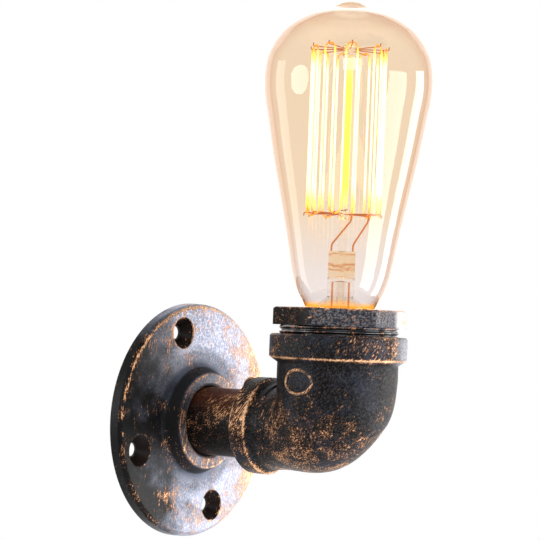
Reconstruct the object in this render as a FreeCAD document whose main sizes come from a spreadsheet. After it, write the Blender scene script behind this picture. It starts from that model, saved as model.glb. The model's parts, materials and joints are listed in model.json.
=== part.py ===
import FreeCAD, Part
import math
import os
import re
import Sketcher
from FreeCAD import Placement, Rotation, Vector

# Industrial pipe wall light: a floor flange on the wall, a short nipple, a reducing
# elbow turned up, a hex bushing that holds a screw lampholder, and a tall cage-filament bulb.
# Frame: the origin is the centre of the flange's back, on the wall plane y = 0.
# The lamp stands out along -Y, +Z is up, and all sizes are millimetres and degrees.

SIZES = {
    # wall flange, measured outwards from the wall
    "flange_radius": 45.9,
    "rim_draft": 0.2,
    "rim_chamfer": 1.5,
    "plate_thick": 5.2,
    "hub_base_radius": 21.7,
    "hub_top_radius": 18.6,
    "hub_height": 11.5,
    "hub_fillet": 2.0,
    "hub_edge_fillet": 0.9,
    "hub_mouth": 1.6,
    "recess_radius": 22.0,
    "recess_depth": 3.6,
    "screw_circle": 35.8,
    "screw_hole_radius": 2.6,
    "sink_radius": 6.1,
    "sink_land": 1.2,
    "screw_turn": 17.6,
    "screw_count": 4,
    # earth screw and washer in the recess
    "earth_circle": 16.9,
    "earth_turn": 60.0,
    "earth_thread_radius": 2.0,
    "earth_thread_depth": 4.6,
    "earth_head_radius": 3.4,
    "earth_head_thick": 2.0,
    "earth_washer_radius": 3.6,
    "earth_washer_thick": 0.8,
    # pipe nipple
    "pipe_radius": 13.2,
    "pipe_wall": 2.9,
    "pipe_show": 23.1,
    "pipe_set_back": 0.4,
    "pipe_engaged": 10.6,
    "pipe_chamfer": 0.8,
    "thread_clearance": 0.05,
    # reducing elbow
    "small_leg": 36.4,
    "big_leg": 35.7,
    "bend_forward": 25.0,
    "bend_height": 19.5,
    "bend_swell": 2.0,
    "small_radius": 16.4,
    "big_radius": 22.6,
    "casting_wall": 3.0,
    "small_bead_radius": 18.5,
    "small_bead_width": 7.2,
    "big_bead_radius": 25.75,
    "big_bead_width": 9.0,
    "bead_chamfer": 0.7,
    "bead_flare": 1.6,
    "seat_gap": 0.4,
    # hex bushing
    "bushing_thread_radius": 21.8,
    "bushing_engaged": 12.6,
    "thread_show": 3.3,
    "hex_flats": 43.0,
    "hex_thick": 6.6,
    "hex_turn": 6.6,
    "hex_chamfer": 0.7,
    "ledge_thick": 4.0,
    "ledge_radius": 15.6,
    "holder_clearance": 0.3,
    # screw lampholder, placed down from the top of the hex
    "holder_radius": 18.2,
    "holder_set_down": 2.4,
    "base_radius": 15.2,
    "base_drop": 17.0,
    "floor_thick": 5.5,
    "well_radius": 12.8,
    "shell_shelf": 5.7,
    "shell_inner_radius": 13.45,
    "shell_wall": 0.35,
    "shell_length": 19.0,
    "lip_chamfer": 1.2,
    # terminals under the lampholder, one towards the wall and one away from it
    "terminal_reach": 9.5,
    "terminal_width": 7.0,
    "terminal_deep": 6.0,
    "terminal_drop": 6.0,
    "tab_width": 3.0,
    "tab_thick": 0.8,
    "shank_thick": 2.4,
    "shank_hole_radius": 2.2,
    "grip_screw_radius": 1.5,
    "grip_head_radius": 2.4,
    "grip_head_thick": 1.6,
    # sprung tongue that meets the bulb's centre contact
    "tongue_width": 5.0,
    "tongue_thick": 0.5,
    "tongue_root": 7.0,
    "tongue_rise": 1.0,
    "tongue_flat": 2.4,
    "tongue_lift": 1.1,
    "tab_gap": 0.3,
    "tongue_knee": 1.5,
    "tongue_lip": 1.4,
    "tongue_curl": 1.0,
    "tongue_ease": 0.2,
    "contact_gap": 0.1,
    # saddle strap and the two screws that clamp the lampholder to the ledge
    "strap_thick": 1.2,
    "strap_width": 8.0,
    "strap_half_span": 17.0,
    "clamp_screw_reach": 10.5,
    "clamp_screw_radius": 1.5,
    "clamp_head_radius": 2.7,
    "clamp_head_thick": 2.0,
    "clamp_bite": 4.9,
    # wires
    "wire_radius": 1.2,
    "core_radius": 0.5,
    "core_length": 5.0,
    "core_hole_radius": 0.8,
    "wire_hole_lift": 2.0,
    "bare_length": 1.1,
    "core_gap": 0.3,
    "wire_side": 1.7,
    "wire_drop": 7.0,
    "wire_set_back": 8.0,
    "entry_dip": 2.0,
    "live_step": 4.5,
    "live_turn": 1.0,
    "live_level": 8.0,
    "neutral_step": 9.0,
    "neutral_dip": 3.5,
    "neutral_turn": 11.0,
    "neutral_level": 0.5,
    # bulb cap, placed up from the tongue
    "cap_radius": 13.15,
    "cap_wall": 0.35,
    "cap_length": 26.0,
    "cap_cone": 3.0,
    "insulator_radius": 9.0,
    "insulator_thick": 1.6,
    "contact_radius": 4.6,
    "contact_thick": 1.0,
    # glass envelope: each station is a radius and a rise above the station before it
    "neck_radius": 12.5,
    "neck_length": 8.0,
    "flare_radius": 15.9,
    "flare_rise": 5.8,
    "waist_radius": 18.3,
    "waist_rise": 6.4,
    "flank_radius": 24.1,
    "flank_rise": 29.0,
    "shoulder_radius": 29.9,
    "shoulder_rise": 29.4,
    "bulb_radius": 32.0,
    "belly_rise": 14.4,
    "crown_radius": 27.3,
    "crown_rise": 16.3,
    "dome_radius": 18.4,
    "dome_rise": 7.7,
    "brow_radius": 11.6,
    "brow_rise": 2.3,
    "summit_radius": 5.5,
    "summit_rise": 1.1,
    "apex_rise": 0.25,
    "pip_radius": 8.0,
    "pip_rise": 3.9,
    "tip_rise": 3.35,
    "glass_wall": 0.9,
    # glass stem, rod and exhaust tube, placed up from the cap's rim
    "stem_radius": 5.0,
    "stem_wall": 0.9,
    "stem_foot_drop": 3.0,
    "stem_throat_height": 5.0,
    "press_height": 12.0,
    "press_top_height": 22.0,
    "press_half_width": 5.0,
    "press_thick": 4.0,
    "press_turn": -53.3,
    "tube_radius": 1.9,
    "tube_bore": 1.1,
    "tube_taper": 2.0,
    "tube_drop": 14.0,
    "rod_radius": 1.5,
    "button_radius": 2.5,
    "button_thick": 2.6,
    # filament cage
    "cage_radius": 13.9,
    "cage_turn": 241.2,
    "cage_gap": 29.0,
    "strand_count": 20,
    "filament_radius": 0.3,
    "cage_bottom_height": 35.4,
    "cage_top_height": 98.4,
    "hook_radius": 0.2,
    "hook_past": 0.9,
    "hook_tip": 1.2,
    "hook_clearance": 0.1,
    # lead wires
    "lead_radius": 0.35,
    "lead_spread": 4.0,
    "lead_end_run": 2.5,
}

# Places that follow from the sizes: distances out from the wall and heights above the pipe.
ELBOW_FACE = "(hub_height + pipe_show)"
LAMP_AXIS = f"({ELBOW_FACE} + small_leg)"
BEND_AXIS = f"({LAMP_AXIS} - bend_forward)"
PIPE_END = f"({ELBOW_FACE} + pipe_engaged)"
HEX_BOTTOM = "(big_leg + thread_show)"
HEX_TOP = f"({HEX_BOTTOM} + hex_thick)"
BUSHING_BOTTOM = "(big_leg - bushing_engaged)"
BEAD_FOOT = "(big_leg - big_bead_width)"
LEDGE_TOP = f"({BUSHING_BOTTOM} + ledge_thick)"
BASE_BOTTOM = f"({LEDGE_TOP} - base_drop)"
FLOOR_TOP = f"({BASE_BOTTOM} + floor_thick)"
SHELF = f"({FLOOR_TOP} + shell_shelf)"
HOLDER_TOP = f"({HEX_TOP} - holder_set_down)"
TONGUE_LOW = f"({FLOOR_TOP} + tab_thick)"
TONGUE_TOP = f"({TONGUE_LOW} + tongue_rise + tongue_thick + tongue_lift)"
CONTACT_BOTTOM = f"({TONGUE_TOP} + contact_gap)"
CAP_BOTTOM = f"({CONTACT_BOTTOM} + contact_thick + insulator_thick)"
CAP_RIM = f"({CONTACT_BOTTOM} + cap_length)"
PRESS_BOTTOM = f"({CAP_RIM} + press_height)"
PRESS_TOP = f"({CAP_RIM} + press_top_height)"
CAGE_BOTTOM = f"({CAP_RIM} + cage_bottom_height)"
CAGE_TOP = f"({CAP_RIM} + cage_top_height)"
THREAD_BORE = "(pipe_radius + thread_clearance)"

ALIAS = re.compile(r"\b(" + "|".join(SIZES) + r")\b")
PAST = 1.0              # how far a cutting shape runs past the face that it opens
WALLWARDS = Rotation(Vector(1, 0, 0), 90)   # turns a piece's own +Z to point out of the wall

doc = FreeCAD.newDocument("pipe_wall_light")
sheet = doc.addObject("Spreadsheet::Sheet", "dims")
for row, (alias, value) in enumerate(SIZES.items(), start=1):
    sheet.set(f"A{row}", alias)
    sheet.set(f"B{row}", str(value))
    sheet.setAlias(f"B{row}", alias)
doc.recompute()

nodes = []


def bound(formula):
    """A formula of size names as an expression on the sheet."""
    return ALIAS.sub(r"dims.\1", str(formula))


def size(formula):
    """The value of a formula of size names."""
    return float(sheet.evalExpression(bound(formula)))


def node(piece, label):
    """Name a finished piece and list it for export."""
    piece.Label = label
    nodes.append(piece)
    return piece


def stand(piece, forward=None, up=None, side=None, rotation=None):
    """Place a piece by formulas: forward is out from the wall, up is +Z and side is +X."""
    if rotation is not None:
        piece.Placement = Placement(Vector(0, 0, 0), rotation)
    for axis, formula in (("x", side), ("y", forward), ("z", up)):
        if formula is not None:
            sign = "-" if axis == "y" else ""
            piece.setExpression(f"Placement.Base.{axis}", bound(f"{sign}({formula})"))
    return piece


def body(name):
    return doc.addObject("PartDesign::Body", name)


def sketch(owner, name, plane="XZ_Plane", lift=None, across=None):
    """An empty sketch on one of the body's own planes, moved off it by formulas."""
    drawing = owner.newObject("Sketcher::SketchObject", name)
    support = [flat for flat in owner.Origin.OriginFeatures if flat.Role == plane][0]
    drawing.AttachmentSupport = (support, [""])
    drawing.MapMode = "FlatFace"
    if lift is not None:
        drawing.setExpression("AttachmentOffset.Base.z", bound(lift))
    if across is not None:
        drawing.setExpression("AttachmentOffset.Base.x", bound(across))
    return drawing


def pin(drawing, index, point, corner):
    """Tie a point of the sketch to two formulas measured from the sketch's origin."""
    for kind, formula in zip(("DistanceX", "DistanceY"), corner):
        number = drawing.addConstraint(
            Sketcher.Constraint(kind, -1, 1, index, point, size(formula)))
        drawing.setExpression(f"Constraints[{number}]", bound(formula))


def polygon(drawing, corners):
    """A closed outline of straight edges whose corners are pairs of formulas."""
    spots = [Vector(size(across), size(along), 0) for across, along in corners]
    count = len(spots)
    edges = [Part.LineSegment(spots[k], spots[(k + 1) % count]) for k in range(count)]
    first = drawing.GeometryCount
    drawing.addGeometry(edges, False)
    for k in range(count):
        drawing.addConstraint(
            Sketcher.Constraint("Coincident", first + k, 2, first + (k + 1) % count, 1))
    for k, corner in enumerate(corners):
        pin(drawing, first + k, 1, corner)
    return drawing


def circle(drawing, centre, radius):
    """A circle whose centre and radius are formulas."""
    spot = Vector(size(centre[0]), size(centre[1]), 0)
    index = drawing.addGeometry(Part.Circle(spot, Vector(0, 0, 1), size(radius)), False)
    number = drawing.addConstraint(Sketcher.Constraint("Radius", index, size(radius)))
    drawing.setExpression(f"Constraints[{number}]", bound(radius))
    pin(drawing, index, 3, centre)
    return drawing


def spin(owner, name, corners, kind="Revolution", **place):
    """Turn an outline of (radius, height) corners round the piece's own Z."""
    drawing = polygon(sketch(owner, name + "_outline", **place), corners)
    turned = owner.newObject("PartDesign::" + kind, name)
    turned.Profile = drawing
    turned.ReferenceAxis = (drawing, ["V_Axis"])
    turned.Angle = 360
    return turned


def pad(owner, name, drawing, length, midplane=False):
    """Pad a drawing by a formula, to both sides alike where midplane is set."""
    block = owner.newObject("PartDesign::Pad", name)
    block.Profile = drawing
    block.SideType = "Symmetric" if midplane else "One side"
    block.setExpression("Length", bound(length))
    return block


def pocket(owner, name, drawing):
    """Cut a drawing right through the piece, both ways."""
    before = owner.Shape.Volume
    cut = owner.newObject("PartDesign::Pocket", name)
    cut.Profile = drawing
    cut.SideType = "Symmetric"
    cut.Type = "ThroughAll"
    doc.recompute()
    if owner.Shape.Volume >= before:
        raise RuntimeError(name + " cuts nothing")
    return cut


def rim_edges(shape, radius, height):
    """Names of the round edges of this radius at this height on the piece's own axis."""
    found = []
    for number, edge in enumerate(shape.Edges, start=1):
        if not isinstance(edge.Curve, Part.Circle):
            continue
        centre = edge.Curve.Center
        on_axis = math.hypot(centre.x, centre.y) < 0.01
        if on_axis and abs(edge.Curve.Radius - radius) < 0.01 and abs(centre.z - height) < 0.01:
            found.append(f"Edge{number}")
    if not found:
        raise RuntimeError(f"no edge of radius {radius} at {height}")
    return found


def dress(owner, kind, base, rims, amount):
    """Fillet or chamfer the round edges named by (radius, height) formulas."""
    doc.recompute()
    names = []
    for radius, height in rims:
        names += rim_edges(base.Shape, size(radius), size(height))
    finish = owner.newObject("PartDesign::" + kind, base.Name + "_" + kind.lower())
    finish.Base = (base, names)
    finish.setExpression("Radius" if kind == "Fillet" else "Size", bound(amount))
    return finish


def turned_piece(label, corners, **place):
    """A node that is one turned outline."""
    owner = body(label)
    spin(owner, label + "_turned", corners)
    stand(owner, **place)
    return node(owner, label)


def route(points, share=0.45):
    """Straight runs through the points, joined by tangent arcs as large as the runs allow."""
    edges = []
    radii = []
    start = points[0]
    for before, corner, after in zip(points, points[1:], points[2:]):
        back = (before - corner)
        ahead = (after - corner)
        turn = math.pi - back.getAngle(ahead)
        reach = share * min(back.Length, ahead.Length)
        radius = reach / math.tan(turn / 2)
        enter = corner + back.normalize() * reach
        leave = corner + ahead.normalize() * reach
        bisector = (back + ahead).normalize()
        middle = corner + bisector * (radius / math.cos(turn / 2) - radius)
        edges.append(Part.LineSegment(start, enter).toShape())
        edges.append(Part.Arc(enter, middle, leave).toShape())
        radii.append(radius)
        start = leave
    edges.append(Part.LineSegment(start, points[-1]).toShape())
    return Part.Wire(edges), radii


def tube(path, radius):
    """One solid of round section along a path of tangent lines and arcs."""
    first = path.OrderedEdges[0]
    start = first.valueAt(first.FirstParameter)
    heading = first.tangentAt(first.FirstParameter)
    ring = Part.Wire([Part.Circle(start, heading, radius).toShape()])
    shell = Part.BRepOffsetAPI.MakePipeShell(path)
    shell.add(ring)
    shell.build()
    shell.makeSolid()
    solid = shell.shape()
    expected = math.pi * radius ** 2 * path.Length
    if abs(solid.Volume / expected - 1) > 0.02:
        raise RuntimeError("a tube has lost its section")
    return solid


def feature(label, solids):
    """A node whose shape is set directly: one solid, or a group of separate solids."""
    piece = doc.addObject("Part::Feature", label)
    piece.Shape = solids[0] if len(solids) == 1 else Part.makeCompound(solids)
    return node(piece, label)


def place_on(centre_angle, radius, height):
    """A point round the lamp axis, by plan angle, radius and height."""
    angle = math.radians(centre_angle)
    return Vector(radius * math.cos(angle), radius * math.sin(angle) - size(LAMP_AXIS), height)


# ---------------------------------------------------------------- wall side

def make_wall_flange():
    """Round cast plate with a tapped hub, four countersunk holes and a wiring recess."""
    flange = body("wall_flange")
    blank = spin(flange, "flange_blank", [
        (THREAD_BORE, "recess_depth"),
        ("recess_radius", "recess_depth"),
        ("recess_radius", "0"),
        ("flange_radius", "0"),
        ("flange_radius - rim_draft", "plate_thick - rim_chamfer"),
        ("flange_radius - rim_draft - rim_chamfer", "plate_thick"),
        ("hub_base_radius", "plate_thick"),
        ("hub_top_radius", "hub_height"),
        (f"{THREAD_BORE} + hub_mouth", "hub_height"),
        (THREAD_BORE, "hub_height - hub_mouth"),
    ])
    foot = dress(flange, "Fillet", blank, [("hub_base_radius", "plate_thick")], "hub_fillet")
    lip = dress(flange, "Fillet", foot, [("hub_top_radius", "hub_height")], "hub_edge_fillet")
    doc.recompute()
    hole = spin(flange, "screw_hole", [
        ("0", f"-{PAST}"),
        ("screw_hole_radius", f"-{PAST}"),
        ("screw_hole_radius", "sink_land"),
        ("sink_radius", "plate_thick"),
        ("sink_radius", f"plate_thick + {PAST}"),
        ("0", f"plate_thick + {PAST}"),
    ], kind="Groove", across="screw_circle*cos(screw_turn)",
        lift="-screw_circle*sin(screw_turn)")
    pattern = flange.newObject("PartDesign::PolarPattern", "screw_holes")
    pattern.Originals = [hole]
    pattern.Axis = (blank.Profile[0], ["V_Axis"])
    pattern.Angle = 360
    pattern.setExpression("Occurrences", bound("screw_count"))
    flange.Tip = pattern
    doc.recompute()
    spin(flange, "earth_tapping", [
        ("0", "recess_depth - 0.5"),
        ("earth_thread_radius", "recess_depth - 0.5"),
        ("earth_thread_radius", "recess_depth + earth_thread_depth"),
        ("0", "recess_depth + earth_thread_depth + 0.8"),
    ], kind="Groove", across="earth_circle*cos(earth_turn)",
        lift="-earth_circle*sin(earth_turn)")
    stand(flange, rotation=WALLWARDS)
    if lip.Shape.Volume - flange.Shape.Volume < 100:
        raise RuntimeError("the flange's holes cut nothing")
    return node(flange, "wall_flange")


def make_earth_screw():
    """Pan-head screw and plain washer for the fixed wiring's earth conductor."""
    where = dict(rotation=WALLWARDS, side="earth_circle*cos(earth_turn)",
                 up="earth_circle*sin(earth_turn)")
    seat = "recess_depth - earth_washer_thick"
    turned_piece("earth_screw", [
        ("0", f"{seat} - earth_head_thick"),
        ("earth_head_radius - 0.6", f"{seat} - earth_head_thick"),
        ("earth_head_radius", f"{seat} - earth_head_thick + 0.6"),
        ("earth_head_radius", seat),
        ("earth_thread_radius - thread_clearance", seat),
        ("earth_thread_radius - thread_clearance", "recess_depth + earth_thread_depth - 0.6"),
        ("0", "recess_depth + earth_thread_depth - 0.2"),
    ], **where)
    turned_piece("earth_washer", [
        ("earth_thread_radius + 0.15", seat),
        ("earth_washer_radius", seat),
        ("earth_washer_radius", "recess_depth"),
        ("earth_thread_radius + 0.15", "recess_depth"),
    ], **where)


def make_pipe_nipple():
    """Short pipe screwed into the flange's hub and the elbow's small end."""
    start = "recess_depth + pipe_set_back"
    bore = "pipe_radius - pipe_wall"
    return turned_piece("pipe_nipple", [
        (bore, start),
        ("pipe_radius - pipe_chamfer", start),
        ("pipe_radius", f"{start} + pipe_chamfer"),
        ("pipe_radius", f"{PIPE_END} - pipe_chamfer"),
        ("pipe_radius - pipe_chamfer", PIPE_END),
        (bore, PIPE_END),
    ], rotation=WALLWARDS)


# ---------------------------------------------------------------- elbow

BEND_SECTIONS = 5


def bend_sweep(name, thinner):
    """The bend as a sweep through circles in planes round the bend axis.

    From the pipe to the lamp the section angle runs 0 to 90 degrees. The circle grows
    from the small to the big radius with the square of the angle's sine, and the centre
    line swells outwards halfway.
    """
    rings = []
    for step in range(BEND_SECTIONS):
        angle = 90.0 * step / (BEND_SECTIONS - 1)
        grow = f"sin({angle})^2"
        reach = (f"(bend_height + (bend_forward - bend_height)*{grow}"
                 f" + bend_swell*sin({2 * angle})^2)")
        ring = doc.addObject("Part::Circle", f"{name}_{step}")
        ring.setExpression("Radius", bound(
            f"small_radius + (big_radius - small_radius)*{grow} - {thinner}"))
        stand(ring, rotation=Rotation(Vector(1, 0, 0), 90 - angle),
              forward=f"{BEND_AXIS} + {reach}*sin({angle})",
              up=f"bend_height - {reach}*cos({angle})")
        rings.append(ring)
    doc.recompute()
    line = Part.BSplineCurve()
    line.interpolate(Points=[ring.Placement.Base for ring in rings],
                     InitialTangent=Vector(0, -1, 0), FinalTangent=Vector(0, 0, 1))
    shell = Part.BRepOffsetAPI.MakePipeShell(Part.Wire([line.toShape()]))
    for ring in rings:
        shell.add(Part.Wire(ring.Shape.Edges))
    shell.build()
    shell.makeSolid()
    sweep = doc.addObject("Part::Feature", name)
    sweep.Shape = shell.shape()
    return sweep


def beaded_end(name, radius, bead_radius, bead_width, foot, face):
    """A straight leg with its banded mouth, from the bend to the end face."""
    inner = f"{face} - {bead_width}"
    leg = body(name)
    spin(leg, name + "_turned", [
        ("0", foot),
        (radius, foot),
        (radius, f"{inner} - bead_flare"),
        (f"{bead_radius} - bead_chamfer", inner),
        (bead_radius, f"{inner} + bead_chamfer"),
        (bead_radius, f"{face} - bead_chamfer"),
        (f"{bead_radius} - bead_chamfer", face),
        ("0", face),
    ])
    return leg


def make_elbow():
    """Cast reducing elbow: a swelling bend between two banded, tapped mouths."""
    small_length = f"({BEND_AXIS} - {ELBOW_FACE})"
    small_end = beaded_end("elbow_small_end", "small_radius", "small_bead_radius",
                           "small_bead_width", "0", small_length)
    stand(small_end, rotation=Rotation(Vector(1, 0, 0), -90), forward=BEND_AXIS)
    big_end = beaded_end("elbow_big_end", "big_radius", "big_bead_radius",
                         "big_bead_width", "bend_height", "big_leg")
    stand(big_end, forward=LAMP_AXIS)
    bend = bend_sweep("elbow_bend", "0")

    small_core = body("elbow_small_core")
    tapped = f"({small_length} - pipe_engaged - seat_gap)"
    spin(small_core, "small_core_turned", [
        ("0", "0"),
        ("small_radius - casting_wall", "0"),
        (THREAD_BORE, f"{tapped}"),
        (THREAD_BORE, f"{small_length} + {PAST}"),
        ("0", f"{small_length} + {PAST}"),
    ])
    stand(small_core, rotation=Rotation(Vector(1, 0, 0), -90), forward=BEND_AXIS)
    big_core = body("elbow_big_core")
    bushing_bore = "(bushing_thread_radius + thread_clearance)"
    spin(big_core, "big_core_turned", [
        ("0", "bend_height"),
        ("big_radius - casting_wall", "bend_height"),
        ("big_radius - casting_wall", BEAD_FOOT),
        (bushing_bore, BEAD_FOOT),
        (bushing_bore, f"big_leg + {PAST}"),
        ("0", f"big_leg + {PAST}"),
    ])
    stand(big_core, forward=LAMP_AXIS)
    bend_core = bend_sweep("elbow_bend_core", "casting_wall")

    outside = doc.addObject("Part::MultiFuse", "elbow_outside")
    outside.Shapes = [bend, small_end, big_end]
    inside = doc.addObject("Part::MultiFuse", "elbow_inside")
    inside.Shapes = [bend_core, small_core, big_core]
    elbow = doc.addObject("Part::Cut", "elbow")
    elbow.Base = outside
    elbow.Tool = inside
    return node(elbow, "elbow")


def make_hex_bushing():
    """Hexagon-headed bushing with a plain barrel and a ledge that carries the lampholder."""
    bushing = body("hex_bushing")
    corner = "hex_flats/sqrt(3)"
    hexagon = polygon(sketch(bushing, "hexagon", "XY_Plane", lift=HEX_BOTTOM), [
        (f"{corner}*cos(hex_turn + {60 * k})", f"{corner}*sin(hex_turn + {60 * k})")
        for k in range(6)])
    pad(bushing, "hex_head", hexagon, "hex_thick")
    doc.recompute()
    pilot = "(big_radius - casting_wall - seat_gap)"
    thread_bottom = f"({BEAD_FOOT} + seat_gap)"
    spin(bushing, "barrel", [
        ("0", BUSHING_BOTTOM),
        (f"{pilot} - bead_chamfer", BUSHING_BOTTOM),
        (pilot, f"{BUSHING_BOTTOM} + bead_chamfer"),
        (pilot, thread_bottom),
        ("bushing_thread_radius - bead_chamfer", thread_bottom),
        ("bushing_thread_radius", f"{thread_bottom} + bead_chamfer"),
        ("bushing_thread_radius", HEX_BOTTOM),
        ("bushing_thread_radius - 1", f"{HEX_BOTTOM} + 1"),
        ("0", f"{HEX_BOTTOM} + 1"),
    ])
    doc.recompute()
    spin(bushing, "holder_bore", [
        ("0", f"{BUSHING_BOTTOM} - {PAST}"),
        ("ledge_radius", f"{BUSHING_BOTTOM} - {PAST}"),
        ("ledge_radius", LEDGE_TOP),
        ("holder_radius + holder_clearance", LEDGE_TOP),
        ("holder_radius + holder_clearance", f"{HEX_TOP} + {PAST}"),
        ("0", f"{HEX_TOP} + {PAST}"),
    ], kind="Groove")
    doc.recompute()
    spin(bushing, "corner_chamfer", [
        (f"{corner} - 2*hex_chamfer", f"{HEX_TOP} + 0.5*hex_chamfer"),
        (f"{corner} + {PAST}", f"{HEX_TOP} - {PAST} - 0.5*hex_chamfer"),
        (f"{corner} + {PAST}", f"{HEX_TOP} + 0.5*hex_chamfer"),
    ], kind="Groove")
    stand(bushing, forward=LAMP_AXIS)
    return node(bushing, "hex_bushing")


# ---------------------------------------------------------------- lampholder

def make_lampholder_body():
    """Porcelain lampholder body: a skirt on the ledge, a stepped socket and a thick floor."""
    holder = body("lampholder_body")
    bore = "(shell_inner_radius + shell_wall + 0.15)"
    spin(holder, "porcelain", [
        ("0", BASE_BOTTOM),
        ("base_radius", BASE_BOTTOM),
        ("base_radius", LEDGE_TOP),
        ("holder_radius", LEDGE_TOP),
        ("holder_radius", f"{HOLDER_TOP} - lip_chamfer"),
        ("holder_radius - lip_chamfer", HOLDER_TOP),
        (f"{bore} + lip_chamfer", HOLDER_TOP),
        (bore, f"{HOLDER_TOP} - lip_chamfer"),
        (bore, SHELF),
        ("well_radius", SHELF),
        ("well_radius", FLOOR_TOP),
        ("0", FLOOR_TOP),
    ])
    doc.recompute()
    shanks = sketch(holder, "shank_holes", "XY_Plane")
    for side in ("", "-"):
        circle(shanks, ("0", f"{side}terminal_reach"), "shank_hole_radius")
    pocket(holder, "shank_cuts", shanks)
    for name, side in (("left", "-"), ("right", "")):
        spin(holder, f"clamp_tapping_{name}", [
            ("0", f"{BASE_BOTTOM} - {PAST}"),
            ("clamp_screw_radius + thread_clearance", f"{BASE_BOTTOM} - {PAST}"),
            ("clamp_screw_radius + thread_clearance", f"{BASE_BOTTOM} + clamp_bite"),
            ("0", f"{BASE_BOTTOM} + clamp_bite"),
        ], kind="Groove", across=f"{side}clamp_screw_reach")
        doc.recompute()
    stand(holder, forward=LAMP_AXIS)
    return node(holder, "lampholder_body")


def make_screw_shell():
    """Pressed brass screw shell, standing on the shelf of the socket."""
    outer = "shell_inner_radius + shell_wall"
    top = f"{SHELF} + shell_length"
    return turned_piece("screw_shell", [
        ("shell_inner_radius", SHELF),
        (outer, SHELF),
        (outer, top),
        ("shell_inner_radius", top),
    ], forward=LAMP_AXIS)


def make_terminal(label, side, riser):
    """A terminal: block under the base, shank through the floor and tab on top of it.

    The side is a sign along Y: plus stands towards the wall. The riser, where there is
    one, climbs from the tab to the screw shell.
    """
    piece = body(label)
    near = "(terminal_reach - 0.5*terminal_deep)"
    far = "(terminal_reach + 0.5*terminal_deep)"
    block_low = f"{BASE_BOTTOM} - terminal_drop"

    def at(distance, height):
        return (f"{side}({distance})", height)

    block = polygon(sketch(piece, label + "_block", "YZ_Plane"), [
        at(near, block_low), at(far, block_low), at(far, BASE_BOTTOM), at(near, BASE_BOTTOM)])
    pad(piece, label + "_block_pad", block, "terminal_width", midplane=True)
    shank_near = "terminal_reach - 0.5*shank_thick"
    shank_far = "terminal_reach + 0.5*shank_thick"
    tab_far = "well_radius - 0.1" if riser else "terminal_reach + 0.9*shank_thick"
    outline = [
        at(shank_near, BASE_BOTTOM),
        at(shank_far, BASE_BOTTOM),
        at(shank_far, FLOOR_TOP),
        at(tab_far, FLOOR_TOP),
    ]
    if riser:
        outline += [
            at(tab_far, SHELF),
            at(f"{tab_far} - tab_thick", SHELF),
            at(f"{tab_far} - tab_thick", f"{FLOOR_TOP} + tab_thick"),
        ]
    else:
        outline.append(at(tab_far, f"{FLOOR_TOP} + tab_thick"))
    outline += [
        at("tongue_root + tab_gap", f"{FLOOR_TOP} + tab_thick"),
        at("tongue_root + tab_gap", FLOOR_TOP),
        at(shank_near, FLOOR_TOP),
    ]
    shank = polygon(sketch(piece, label + "_shank", "YZ_Plane"), outline)
    pad(piece, label + "_shank_pad", shank, "tab_width", midplane=True)
    doc.recompute()
    entry = circle(sketch(piece, label + "_entry", "XZ_Plane"),
                   ("0", f"{block_low} + wire_hole_lift"), "core_hole_radius")
    pocket(piece, label + "_entry_cut", entry)
    grip = f"{BASE_BOTTOM} - terminal_drop"
    spin(piece, label + "_grip_tapping", [
        ("0", f"{grip} - {PAST}"),
        ("grip_screw_radius + thread_clearance", f"{grip} - {PAST}"),
        ("grip_screw_radius + thread_clearance", f"{grip} + wire_hole_lift - core_radius"),
        ("0", f"{grip} + wire_hole_lift - core_radius"),
    ], kind="Groove", lift=f"-({side}terminal_reach)")
    doc.recompute()
    stand(piece, forward=LAMP_AXIS)
    return node(piece, label)


def make_terminal_screws():
    """Two grip screws that come up through the blocks and press on the bare cores."""
    screws = []
    grip = f"{BASE_BOTTOM} - terminal_drop"
    for name, side in (("wall_side", ""), ("far_side", "-")):
        screw = body("grip_screw_" + name)
        spin(screw, name + "_turned", [
            ("0", f"{grip} - grip_head_thick"),
            ("grip_head_radius", f"{grip} - grip_head_thick"),
            ("grip_head_radius", grip),
            ("grip_screw_radius", grip),
            ("grip_screw_radius", f"{grip} + wire_hole_lift - core_radius"),
            ("0", f"{grip} + wire_hole_lift - core_radius"),
        ])
        stand(screw, forward=f"{LAMP_AXIS} - ({side}terminal_reach)")
        screws.append(screw)
    group = doc.addObject("Part::Compound", "terminal_screws")
    group.Links = screws
    return node(group, "terminal_screws")


def make_centre_tongue():
    """Bronze tongue: rises from its root by the live tab to a flat under the bulb's contact."""
    tongue = body("centre_tongue")
    low = f"{FLOOR_TOP} + 0.3"
    top = TONGUE_TOP
    strip = polygon(sketch(tongue, "tongue_side", "YZ_Plane"), [
        ("tongue_root", low),
        ("tongue_root", f"{low} + tongue_thick"),
        ("tongue_root - tongue_knee", f"{low} + tongue_thick"),
        ("tongue_flat", top),
        ("-tongue_flat", top),
        ("-tongue_flat - tongue_lip", f"{top} - tongue_curl"),
        ("-tongue_flat - tongue_curl", f"{top} - tongue_curl - tongue_thick"),
        ("-tongue_flat + tongue_ease", f"{top} - tongue_thick"),
        ("tongue_flat - tongue_ease", f"{top} - tongue_thick"),
        ("tongue_root - tongue_knee - tongue_ease", low),
    ])
    pad(tongue, "tongue_pad", strip, "tongue_width", midplane=True)
    stand(tongue, forward=LAMP_AXIS)
    return node(tongue, "centre_tongue")


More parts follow.
